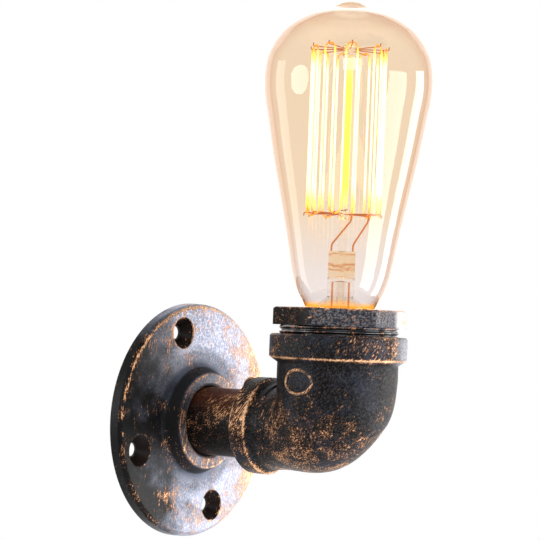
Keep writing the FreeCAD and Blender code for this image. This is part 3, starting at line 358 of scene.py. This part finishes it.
def flange_masks(g, here, x, y, z):
    """Worn rim, hub and hole edges; the face has a painted sheen, black at the left to pale slate at
    the right.

    The four holes lie on a circle, a quarter turn apart: folding the turned x and z by their signs and
    their order brings every hole to one place, and from_hole is the distance to it.
    """
    radius = g.length(x, z)
    rim = g.times(g.near(radius, RIM_EDGE, RIM_WEAR), g.ramp(y, RIM_FRONT, RIM_FRONT - EDGE_STEP),
                  g.ramp(z, *RIM_UPWARD))
    on_hub = g.ramp(y, *HUB_FRONT)
    hub = g.most(g.times(g.near(radius, HUB_CORNER, CORNER), on_hub, 1.3), g.times(on_hub, 0.45))
    cos, sin = math.cos(HOLE_TURN), math.sin(HOLE_TURN)
    along = g.size(g.add(g.times(x, cos), g.times(z, sin)))
    across = g.size(g.add(g.times(x, -sin), g.times(z, cos)))
    far = g.less(g.math("MAXIMUM", along, across), HOLE_CIRCLE)
    from_hole = g.length(far, g.math("MINIMUM", along, across))
    edge = g.most(rim, hub, g.times(g.near(from_hole, SINK_RADIUS, CORNER), 0.8))
    outward = g.ramp(radius, *FLANGE_OUTWARD)
    side = g.ramp(g.add(x, g.times(z, 0.12)), *FLANGE_LEFT)
    right = g.ramp(x, *FLANGE_RIGHT)
    wall_side = g.ramp(y, RIM_FRONT, RIM_FRONT + EDGE_STEP)
    rub = g.add(-0.15, g.times(outward, right, 0.28), g.times(side, outward, 0.10),
                g.times(side, 0.05), g.times(wall_side, -0.06))
    cloud = g.noise(here, 70.0, 4.0, 0.65)
    # pale, with slate as its colour, is a painted sheen: pale slate towards the right, where the light
    # falls
    pale = g.add(g.times(side, 0.82), g.times(g.less(cloud, 0.5), g.add(1.0, g.times(side, 0.9))))
    pale = g.times(g.ramp(pale, 0.0, 0.9), g.ramp(radius, *FLANGE_SHEEN))
    slate = g.mix(right, colour(122, 129, 147), colour(148, 140, 140))
    tone_and_painted_light = g.mix(pale, colour(6, 6, 7), slate)
    off_hole = g.ramp(from_hole, *SINK_EDGE)
    # off_hub takes the painted sheen away near the hub's foot, where it lies in shade
    off_hub = g.ramp(g.size(g.less(radius, HUB_FOOT)), *HUB_SHADE)
    flank = g.between(y, *HUB_FLANK)
    pale = g.times(pale, off_hole, off_hub)
    # painted shade: the inside of each screw hole is dark brown-black
    tone_and_painted_light = g.mix(off_hole, colour(20, 13, 10), tone_and_painted_light)
    # painted shade on the hub's flank
    tone_and_painted_light = g.mix(g.times(flank, 0.9), tone_and_painted_light, colour(16, 14, 14))
    rub = g.add(rub, g.times(g.less(1.0, off_hole), -0.12), g.times(flank, -0.05))
    pale = g.times(pale, g.less(1.0, flank))
    # the painted sheen also raises the scuffs and the shine
    return edge, rub, tone_and_painted_light, g.times(pale, 0.55), g.times(pale, 0.6)


# where the elbow's finish, painted sheen and painted shade change
BAND_WEAR = 0.9 * MM
MOUTH_WEAR = 0.75 * MM
COLLAR_SKIN = (23.0 * MM, 25.0 * MM)
MOUTH_SKIN = (17.0 * MM, 18.2 * MM)
BEND_RUB = (35.0 * MM, 15.0 * MM, -0.20, -0.02)
MOUTH_BAND = (-43.0 * MM, -41.0 * MM)
COLLAR_BAND = (25.0 * MM, 26.5 * MM)
COLLAR_FACE = (24.0 * MM, 27.0 * MM)
COLLAR_RIGHT = (14.0 * MM, 26.0 * MM)
ELBOW_RIGHT = (14.0 * MM, 27.0 * MM)
UNDER_COLLAR = (25.0 * MM, 22.0 * MM)
MOUTH_SHADE = 1.8 * MM
COLLAR_SHADE = 1.7 * MM


def elbow_masks(g, here, x, y, z):
    """Corners of the two bands; rubbed low on the bend and on the bands, hardly on the upper bend."""
    out = g.length(x, g.less(y, LAMP_Y))
    lower = g.near(z, COLLAR_LOW, BAND_WEAR)
    upper = g.times(g.near(z, COLLAR_TOP, CORNER), 0.6)
    collar = g.times(g.ramp(out, *COLLAR_SKIN), g.most(upper, g.times(lower, 1.7)))
    mouth = g.most(g.near(y, MOUTH_FACE, MOUTH_WEAR), g.near(y, MOUTH_BACK, CORNER))
    side = g.times(g.ramp(g.length(x, z), *MOUTH_SKIN), mouth, 1.15)
    low = g.ramp(g.add(z, g.times(y, -0.25)), *BEND_RUB)
    band = g.times(g.ramp(y, *MOUTH_BAND), 0.02)
    ring = g.times(g.ramp(z, *COLLAR_BAND), 0.10)
    groove_shade = g.most(g.near(y, MOUTH_GROOVE, MOUTH_SHADE), g.near(z, COLLAR_GROOVE, COLLAR_SHADE))
    cloud = g.noise(here, 90.0, 3.0, 0.6)
    tone_and_painted_light = g.mix(g.ramp(cloud, 0.42, 0.72), colour(10, 10, 12), colour(34, 37, 46))
    aside = rightward(g, x, y)
    # face is a painted sheen: the collar's face turns pale grey towards the right, where the light
    # falls
    face = g.times(g.ramp(z, *COLLAR_FACE), g.ramp(aside, *COLLAR_RIGHT))
    tone_and_painted_light = g.mix(g.times(face, 0.7), tone_and_painted_light, colour(120, 122, 130))
    shine = g.add(0.04, g.times(face, 0.65))
    # painted shade in the grooves beside the bands
    tone_and_painted_light = g.mix(g.times(groove_shade, 0.85), tone_and_painted_light, colour(8, 7, 8))
    right = g.ramp(aside, *ELBOW_RIGHT)
    below = g.ramp(z, *UNDER_COLLAR)
    rub = g.add(low, band, g.times(ring, g.add(1.0, g.times(face, -1.3))),
                g.times(right, below, 0.02), g.times(groove_shade, -0.2))
    return g.most(collar, side), rub, tone_and_painted_light, g.add(0.06, g.times(face, 0.4)), shine


def mark_masks(g, here, x, y, z):
    """The raised ring: rubbed bright on its crest."""
    return 0.5, 0.0, colour(40, 36, 36), 0.1, 0.2


# where the hexagon's finish and painted sheen change, from its left to its right
HEX_MIDDLE = (-24.5 * MM, -19.0 * MM)
HEX_RIGHT = (19.0 * MM, 24.0 * MM)


def hex_masks(g, here, x, y, z):
    """Top corner of the hexagon; a painted sheen, brown-black at the left, slate in the middle, silvery
    at the right.
    """
    top = g.near(z, HEX_TOP, CORNER)
    aside = rightward(g, x, y)
    right = g.ramp(aside, *HEX_RIGHT)
    middle = g.ramp(aside, *HEX_MIDDLE)
    tone_and_painted_light = g.mix(middle, colour(15, 11, 9), colour(40, 42, 49))
    tone_and_painted_light = g.mix(right, tone_and_painted_light, colour(170, 166, 168))
    shine = g.add(g.times(middle, 0.3), g.times(right, 0.4))
    return top, g.add(-0.13, g.times(right, 0.14)), tone_and_painted_light, g.times(middle, 0.28), shine


# the pipe, from its underside to its top
PIPE_TOP = (2.0 * MM, 13.0 * MM)
PIPE_RUB = (-12.0 * MM, 12.0 * MM, -0.15, -0.03)
PIPE_END = 2.0 * MM


def pipe_masks(g, here, x, y, z):
    """Brown-black pipe, redder and more rubbed on top, and rubbed where it enters the elbow."""
    top = g.ramp(z, *PIPE_TOP)
    worn = g.times(top, g.noise(here, 160.0, 3.0, 0.6))
    tone = g.mix(worn, colour(13, 10, 9), colour(94, 47, 26))
    rub = g.ramp(z, *PIPE_RUB)
    return g.near(y, MOUTH_FACE + CORNER, PIPE_END), rub, tone, 0.05, 0.0


def plain_metal(name, tone, roughness, metallic=1.0, scale=600.0, depth=0.03, lit=0.0,
                threaded=False):
    """A machined or pressed metal with faint marks; lit is the strength of a painted glow that stands
    for the filament's light.

    A threaded metal has round turns h = sin(2 pi z / pitch + angle), from THREAD_LOW to THREAD_TOP.
    """
    made, g, shader = material(name)
    marks = g.noise(g.place(), scale, 3.0, 0.6)
    skin_tone = g.mix(marks, dimmed(tone, 0.72), colour(*tone))
    g.put(shader.inputs["Base Color"], skin_tone)
    g.put(shader.inputs["Roughness"], g.add(roughness, g.times(marks, 0.12)))
    shader.inputs["Metallic"].default_value = metallic
    g.put(shader.inputs["Emission Color"], skin_tone)
    shader.inputs["Emission Strength"].default_value = lit
    skin = g.bump(marks, depth * MM, 0.4)
    if threaded:
        x, y, z = g.split(g.place())
        angle = g.math("ARCTAN2", x, g.less(y, LAMP_Y))
        turns = g.math("SINE", g.add(g.times(z, 2 * math.pi / THREAD_PITCH), angle))
        reach = g.between(z, (THREAD_LOW - 1.0 * MM, THREAD_LOW), (THREAD_TOP + 1.0 * MM, THREAD_TOP))
        wide = g.ramp(g.length(x, g.less(y, LAMP_Y)), 12.0 * MM, 12.6 * MM)
        skin = g.bump(g.times(turns, reach, wide), 0.7 * MM, 0.9, skin)
    g.put(shader.inputs["Normal"], skin)
    return made


def amber_glass(name):
    """Clear glass under a pale amber coat, deeper where it is seen edge-on, with a painted glow at the
    neck.
    """
    made, g, shader = material(name)
    x, y, z = g.split(g.place())
    blotch = g.noise(g.place(), 26.0, 2.0, 0.5)
    height = g.add(g.ramp(z, *AMBER_COAT), g.times(g.less(blotch, 0.5), 0.5))
    tint = g.colours(height, (0.0, colour(247, 241, 240)), (0.45, colour(249, 234, 215)),
                     (1.0, colour(248, 233, 214)))
    rim = g.new("ShaderNodeLayerWeight", Blend=0.4).outputs["Facing"]
    tint = g.mix(g.ramp(rim, 0.30, 0.85), tint, colour(214, 146, 82))
    neck_glow = g.ramp(z, *NECK_WARM)
    g.put(shader.inputs["Base Color"], g.mix(neck_glow, tint, colour(255, 194, 100)))
    g.put(shader.inputs["Emission Color"], g.mix(neck_glow, (0.0, 0.0, 0.0, 1.0), (1.0, 0.52, 0.08, 1.0)))
    shader.inputs["Emission Strength"].default_value = 0.16
    shader.inputs["Transmission Weight"].default_value = 1.0
    shader.inputs["Roughness"].default_value = 0.0
    shader.inputs["IOR"].default_value = 1.42
    shader.inputs["Specular Tint"].default_value = colour(255, 236, 214)
    return made


def clear_glass(name):
    """Stem glass: almost colourless tube, amber press with darker bands, and a painted yellow glow on
    the rod in the cage.
    """
    made, g, shader = material(name)
    x, y, z = g.split(g.place())
    streak = g.noise(g.turned(g.place(), scale=(1.0, 1.0, 0.2)), 300.0, 2.0, 0.5)
    clear = g.mix(streak, colour(250, 244, 236), colour(255, 252, 248))
    press = g.between(z, PRESS_LOW, PRESS_TOP)
    tone = g.mix(press, clear, g.mix(streak, colour(246, 208, 148), colour(255, 246, 226)))
    wave = g.add(z, g.times(g.less(g.noise(g.place(), 260.0, 3.0, 0.6), 0.5), 5.0 * MM))
    bands = g.most(*(g.near(wave, height, reach) for height, reach in PRESS_BANDS))
    tone = g.mix(g.times(bands, press), tone, colour(222, 140, 66))
    rod_glow = g.between(z, ROD_LOW, ROD_TOP)
    g.put(shader.inputs["Base Color"], g.mix(rod_glow, tone, colour(255, 224, 90)))
    g.put(shader.inputs["Emission Color"], g.mix(rod_glow, (0.0, 0.0, 0.0, 1.0), (1.0, 0.76, 0.10, 1.0)))
    shader.inputs["Emission Strength"].default_value = 0.8
    shader.inputs["Transmission Weight"].default_value = 1.0
    shader.inputs["Roughness"].default_value = 0.0
    shader.inputs["IOR"].default_value = 1.35
    return made


def glowing_wire(name):
    """White-hot tungsten, cooler and yellower at the hooks."""
    made, g, shader = material(name)
    x, y, z = g.split(g.place())
    flicker = g.noise(g.turned(g.place(), scale=(1.0, 1.0, 0.15)), 420.0, 3.0, 0.6)
    ends = g.math("MINIMUM", g.ramp(z, *CAGE_LOW), g.ramp(z, *CAGE_TOP))
    heat = g.add(g.times(ends, 0.7), g.times(flicker, 0.5))
    g.put(shader.inputs["Emission Color"], g.colours(
        heat, (0.25, (0.4, 0.12, 0.01, 1.0)), (0.62, (1.0, 0.60, 0.08, 1.0)),
        (1.0, (1.0, 0.84, 0.42, 1.0))))
    g.put(shader.inputs["Base Color"], g.mix(flicker, colour(200, 150, 90), colour(240, 210, 160)))
    shader.inputs["Emission Strength"].default_value = 4.0
    shader.inputs["Roughness"].default_value = 0.5
    return made


def soft_stuff(name, tone, roughness=0.5, scale=300.0):
    """Ceramic, cement, sleeve or solder: an even colour with faint mottling."""
    made, g, shader = material(name)
    mottle = g.noise(g.place(), scale, 3.0, 0.6)
    g.put(shader.inputs["Base Color"], g.mix(mottle, dimmed(tone, 0.8), colour(*tone)))
    g.put(shader.inputs["Roughness"], g.add(roughness, g.times(mottle, 0.1)))
    return made


TURN_CREST = (22.1 * MM, 22.5 * MM)


def black_gloss(name):
    """Glossy black of the thread turns, with a little wear, more on the crests."""
    made, g, shader = material(name)
    x, y, z = g.split(g.place())
    crest = g.ramp(g.length(x, g.less(y, LAMP_Y)), *TURN_CREST)
    worn = g.ramp(g.add(g.noise(g.place(), 500.0, 4.0, 0.7), g.times(crest, 0.12)), 0.60, 0.70)
    g.put(shader.inputs["Base Color"], g.mix(worn, colour(20, 19, 20), colour(150, 96, 64)))
    g.put(shader.inputs["Roughness"], g.add(0.16, g.times(worn, 0.3)))
    return made


MATERIALS = {
    "flange_iron": rubbed_iron("flange_iron", flange_masks, (0.12, 0.0, 1.0), 0.10),
    "pipe_iron": rubbed_iron("pipe_iron", pipe_masks, (0.5, -0.6, 0.6), 0.08),
    "elbow_iron": rubbed_iron("elbow_iron", elbow_masks, (0.34, -0.45, 0.82), 0.07),
    "bushing_iron": rubbed_iron("bushing_iron", hex_masks, (0.5, -0.7, 0.35), 0.04),
    "brass_screw": plain_metal("brass_screw", (214, 178, 104), 0.30),
    "porcelain": soft_stuff("porcelain", (232, 228, 216), 0.16, 90.0),
    "brass_shell": plain_metal("brass_shell", (208, 178, 112), 0.28, threaded=True),
    "terminal_brass": plain_metal("terminal_brass", (206, 170, 98), 0.30),
    "plated_steel": plain_metal("plated_steel", (190, 190, 188), 0.30),
    "bronze": plain_metal("bronze", (206, 150, 96), 0.28),
    "wire_brown": soft_stuff("wire_brown", (92, 52, 30), 0.42, 500.0),
    "wire_blue": soft_stuff("wire_blue", (40, 84, 160), 0.42, 500.0),
    "bare_copper": plain_metal("bare_copper", (214, 140, 96), 0.30),
    "cap_brass": plain_metal("cap_brass", (214, 184, 120), 0.24, threaded=True),
    "black_glass": soft_stuff("black_glass", (18, 18, 20), 0.08, 200.0),
    "solder": plain_metal("solder", (176, 176, 178), 0.42),
    "cement": soft_stuff("cement", (176, 160, 134), 0.70, 900.0),
    "amber_glass": amber_glass("amber_glass"),
    "clear_glass": clear_glass("clear_glass"),
    "filament": glowing_wire("filament"),
    # the hook and lead wires carry a painted glow (lit) for the filament's light on them
    "hook_wire": plain_metal("hook_wire", (196, 108, 50), 0.4, 0.3, lit=0.7),
    "lead_wire": plain_metal("lead_wire", (232, 140, 78), 0.5, 0.15, lit=0.9),
}
slot_of = {part["node"]: part["material_slot"] for part in frame["record"]["subparts"]}
for name, cad in nodes.items():
    cad.data.materials.clear()
    cad.data.materials.append(MATERIALS[slot_of[name]])


# ---------------------------------------------------------------- pieces

def solid_of(name, rows, body, finish, replaced=(), poles=False):
    """A closed surface from a grid of points, joined to itself along its rows and its columns.

    With poles, the first and last rows aren't joined to each other: a small face closes each.
    """
    count, around = rows.shape[:2]
    corner = np.arange(count * around).reshape(count, around)
    beside = np.roll(corner, -1, axis=1)
    quads = np.stack([corner, beside, np.roll(beside, -1, axis=0), np.roll(corner, -1, axis=0)], axis=2)
    if poles:
        faces = quads[:-1].reshape(-1, 4).tolist() + [corner[0, ::-1].tolist(), corner[-1].tolist()]
    else:
        faces = quads.reshape(-1, 4).tolist()
    mesh = bpy.data.meshes.new(name)
    mesh.from_pydata(rows.reshape(-1, 3).tolist(), [], faces)
    mesh.update()
    mesh.polygons.foreach_set("use_smooth", [True] * len(faces))
    mesh.materials.append(finish)
    piece = bpy.data.objects.new(name, mesh)
    scene.collection.objects.link(piece)
    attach(piece, body)
    if replaced:
        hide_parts(*replaced)
    return piece


def about_axis(radius, angles, height):
    """Points about the bulb's axis: x = radius sin angle, y = LAMP_Y - radius cos angle, z = height."""
    x = radius * np.sin(angles)
    y = LAMP_Y - radius * np.cos(angles)
    return np.stack([x, y, np.broadcast_to(height, x.shape)], axis=2)


def turn_angles(around):
    """Evenly spaced angles once round, the last one short of the first."""
    return np.linspace(0.0, 2 * np.pi, around, endpoint=False)


GLASS_STATIONS = (              # radius and height in millimetres, from the neck to the pip
    (13.2, 45.25), (13.2, 46.4), (14.8, 49.0), (15.9, 50.8), (17.4, 54.5), (18.9, 60.1), (21.0, 71.3),
    (24.1, 86.3), (27.3, 101.3), (30.0, 116.2), (31.4, 123.7), (31.9, 131.2), (31.1, 138.4),
    (29.3, 143.0), (27.2, 146.5), (24.1, 150.1), (18.7, 153.9), (12.2, 156.4), (8.9, 157.3),
    (7.4, 158.0), (6.2, 159.0), (4.6, 160.0), (2.4, 160.8), (0.05, 161.0),
)
GLASS_WALL = 0.55 * MM
GLASS_SAMPLES = 5               # steps between two stations
GLASS_AROUND = 128
GLASS_TIP = 0.05 * MM           # the radius of the small faces that close the dome, outside
GLASS_TIP_INSIDE = 0.04 * MM


def glass_rows():
    """The envelope: a smooth line through the stations, and that line inset by the wall, spun round.

    Between stations b and c, with a before and d after, the line is the Catmull-Rom spline
    (2 b + (c - a) t + (2 a - 5 b + 4 c - d) t ^ 2 + (3 b - a - 3 c + d) t ^ 3) / 2.
    """
    points = np.array(GLASS_STATIONS) * MM
    padded = np.vstack([2 * points[0] - points[1], points, 2 * points[-1] - points[-2]])[:, None]
    a, b, c, d = padded[:-3], padded[1:-2], padded[2:-1], padded[3:]
    t = np.linspace(0.0, 1.0, GLASS_SAMPLES, endpoint=False)[:, None]
    spline = 0.5 * (2 * b + (c - a) * t + (2 * a - 5 * b + 4 * c - d) * t ** 2
                    + (3 * b - a - 3 * c + d) * t ** 3)
    outer = np.vstack([spline.reshape(-1, 2), points[-1]])
    slope = np.gradient(outer, axis=0)
    slope /= np.linalg.norm(slope, axis=1, keepdims=True)
    inner = outer + GLASS_WALL * np.stack([-slope[:, 1], slope[:, 0]], axis=1)
    inner[:, 0] = np.maximum(inner[:, 0], GLASS_TIP_INSIDE)
    outer[:, 0] = np.maximum(outer[:, 0], GLASS_TIP)
    profile = np.vstack([inner[::-1], outer])
    return about_axis(profile[:, 0:1], turn_angles(GLASS_AROUND), profile[:, 1:2])


solid_of("bulb_envelope", glass_rows(), "bulb", MATERIALS["amber_glass"], ["bulb_glass"],
         poles=True)


TURN_PITCH = 1.65 * MM          # the bushing's thread, where it shows over the collar
TURN_LOW = 35.75 * MM
TURN_TOP = 38.95 * MM
TURN_ROOT = 21.85 * MM
TURN_RISE = 0.55 * MM
TURN_INSIDE = 20.9 * MM
TURN_ROWS = 25
TURN_AROUND = 144


def thread_rows():
    """Turns of thread: radius root + rise * ridge ^ 0.7, with ridge = (1 - cos 2 pi phase) / 2.

    The phase is height / pitch - angle / 2 pi. The ring is closed inside, where the bushing hides it.
    """
    angles = turn_angles(TURN_AROUND)
    height = np.linspace(TURN_LOW, TURN_TOP, TURN_ROWS)[:, None]
    phase = height / TURN_PITCH - angles / (2 * np.pi)
    ridge = 0.5 - 0.5 * np.cos(2 * np.pi * phase)
    outside = about_axis(TURN_ROOT + TURN_RISE * ridge ** 0.7, angles, height)
    inside = about_axis(np.full((2, 1), TURN_INSIDE), angles, np.array([[TURN_TOP], [TURN_LOW]]))
    return np.vstack([outside, inside])


solid_of("bushing_thread", thread_rows(), "elbow", black_gloss("thread_black"))


RING_PIXEL = (297, 382)         # the ring's middle in the picture
RING_SECTIONS = 12
RING_STEPS = 72
RING_WIDTH = 0.55 * MM          # half of it, as the rise is half of the section's height
RING_RISE = 0.6 * MM
RING_ACROSS = 6.2 * MM
RING_UP = 4.4 * MM
RING_DROP = 5.0 * MM            # the rays start this far off the skin
RING_SINK = 0.05 * MM


def ring_rows():
    """A raised ring cast on the elbow, dropped onto its skin by rays along the local normal.

    At angle t and section angle s the point is c + (a + w cos s) cos t f + (b + w cos s) sin t g,
    dropped onto the skin, and h sin s above it along the normal, less the sink. Here a and b are the
    ring's reach across and up, w and h its width and rise, and f and g run across and up the skin.
    """
    skin = nodes["elbow"].data
    tree = BVHTree.FromPolygons([v.co for v in skin.vertices],
                                [p.vertices[:] for p in skin.polygons])
    aim = aimed(*RING_PIXEL)
    centre, normal, _, _ = tree.ray_cast(EYE, aim)
    if normal.dot(aim) > 0:
        normal = -normal
    first = normal.cross(Vector((0.0, 0.0, 1.0))).normalized()
    second = first.cross(normal).normalized()
    angle = turn_angles(RING_STEPS)[:, None]
    section = np.linspace(2 * np.pi, 0.0, RING_SECTIONS, endpoint=False)[:, None, None]
    offset = RING_WIDTH * np.cos(section)
    lift = RING_RISE * np.sin(section) - RING_SINK
    flat = ((RING_ACROSS + offset) * np.cos(angle) * np.array(first)
            + (RING_UP + offset) * np.sin(angle) * np.array(second))
    starts = flat + np.array(centre + normal * RING_DROP)
    spots = [tree.ray_cast(Vector(start), -normal)[0] for start in starts.reshape(-1, 3)]
    return np.array(spots).reshape(starts.shape) + lift * np.array(normal)


solid_of("ring_mark", ring_rows(), "elbow",
         rubbed_iron("mark_iron", mark_masks, (0.34, -0.45, 0.82)))


# ---------------------------------------------------------------- light and camera

LIT_POINT = Vector((0.0, LAMP_Y, 60.0 * MM))
TOWARDS_CAMERA = Vector((-ahead.x, -ahead.y, 0.0)).normalized()


def lamp(name, turn, height, away, wide, tall, power, tone=(1.0, 1.0, 1.0), shape="RECTANGLE"):
    """A soft box at an angle round the bulb from the camera, facing the bulb."""
    angle = math.radians(turn)
    flat = TOWARDS_CAMERA * math.cos(angle) + level * math.sin(angle)
    spot = LIT_POINT + away * flat + Vector((0, 0, height))
    light = bpy.data.lights.new(name, "AREA")
    light.shape = shape
    light.size = wide
    light.size_y = tall
    light.energy = power
    light.color = tone
    holder = bpy.data.objects.new(name, light)
    holder.location = spot
    holder.rotation_euler = (LIT_POINT - spot).to_track_quat("-Z", "Y").to_euler()
    holder.visible_camera = False
    holder.visible_transmission = False
    scene.collection.objects.link(holder)
    return holder


lamp("right_box", 108, -0.22, 1.0, 0.36, 1.1, 12)
lamp("right_front_box", 66, -0.20, 1.1, 0.60, 1.0, 20, (0.92, 0.95, 1.0))
lamp("left_box", -106, -0.16, 1.0, 0.34, 1.1, 3.3)
lamp("left_front_box", -70, 0.11, 1.0, 0.50, 0.40, 5, (0.94, 0.97, 1.0), "ELLIPSE")
lamp("front_box", 2, 0.32, 0.95, 0.42, 0.22, 3)
lamp("top_box", -30, 1.2, 0.30, 1.7, 1.5, 12, (0.92, 0.96, 1.0)).visible_glossy = False
lamp("backdrop", 180, 0.0, 0.8, 1.7, 1.7, 9)

FLOOR_LEVEL = -0.86             # metres; under the lowest edge of the soft boxes
FLOOR_REACH = 3.0
FLOOR_TONE = (0.7, 0.7, 0.7, 1.0)
FLOOR_GLOW = 0.8                # with the light on it, this makes it white to the camera


def pale_floor():
    """A flat square of plain pale floor, far under the lamp; it keeps the lamp's soft shadow."""
    made, g, shader = material("pale_floor")
    shader.inputs["Base Color"].default_value = FLOOR_TONE
    shader.inputs["Roughness"].default_value = 0.9
    shader.inputs["Emission Color"].default_value = (1.0, 1.0, 1.0, 1.0)
    paths = g.new("ShaderNodeLightPath").outputs
    seen = g.most(paths["Is Camera Ray"], paths["Is Glossy Ray"], paths["Is Transmission Ray"])
    g.put(shader.inputs["Emission Strength"], g.times(seen, FLOOR_GLOW))
    corners = [(a * FLOOR_REACH, b * FLOOR_REACH, FLOOR_LEVEL)
               for a, b in ((-1, -1), (1, -1), (1, 1), (-1, 1))]
    mesh = bpy.data.meshes.new("floor")
    mesh.from_pydata(corners, [], [(0, 1, 2, 3)])
    mesh.materials.append(made)
    floor = bpy.data.objects.new("floor", mesh)
    scene.collection.objects.link(floor)


pale_floor()

world = bpy.data.worlds.new("studio")
scene.world = world
world.use_nodes = True
w = Graph(world.node_tree)
for old in list(world.node_tree.nodes):
    world.node_tree.nodes.remove(old)
paths = w.new("ShaderNodeLightPath").outputs
seen = w.most(paths["Is Camera Ray"], paths["Is Glossy Ray"], paths["Is Transmission Ray"])
room = w.new("ShaderNodeBackground", Color=(0.40, 0.42, 0.46, 1.0), Strength=0.3)
paper = w.new("ShaderNodeBackground", Color=(1.0, 1.0, 1.0, 1.0), Strength=1.0)
blend = w.new("ShaderNodeMixShader")
w.put(blend.inputs[0], seen)
w.put(blend.inputs[1], room.outputs[0])
w.put(blend.inputs[2], paper.outputs[0])
sky = w.new("ShaderNodeOutputWorld")
w.put(sky.inputs["Surface"], blend.outputs[0])

SENSOR = 36.0                   # width of the film in millimetres
camera_data = bpy.data.cameras.new("camera")
camera_data.sensor_width = SENSOR
camera_data.lens = FOCAL * SENSOR / PICTURE
camera_data.clip_start = 0.01
camera = bpy.data.objects.new("camera", camera_data)
camera.matrix_world = Matrix(((right.x, up.x, -ahead.x, EYE.x),
                              (right.y, up.y, -ahead.y, EYE.y),
                              (right.z, up.z, -ahead.z, EYE.z),
                              (0.0, 0.0, 0.0, 1.0)))
scene.collection.objects.link(camera)
scene.camera = camera

scene.cycles.max_bounces = 14
scene.cycles.transmission_bounces = 14
scene.cycles.transparent_max_bounces = 14
scene.cycles.caustics_refractive = False
scene.cycles.caustics_reflective = False
scene.view_settings.view_transform = "Standard"
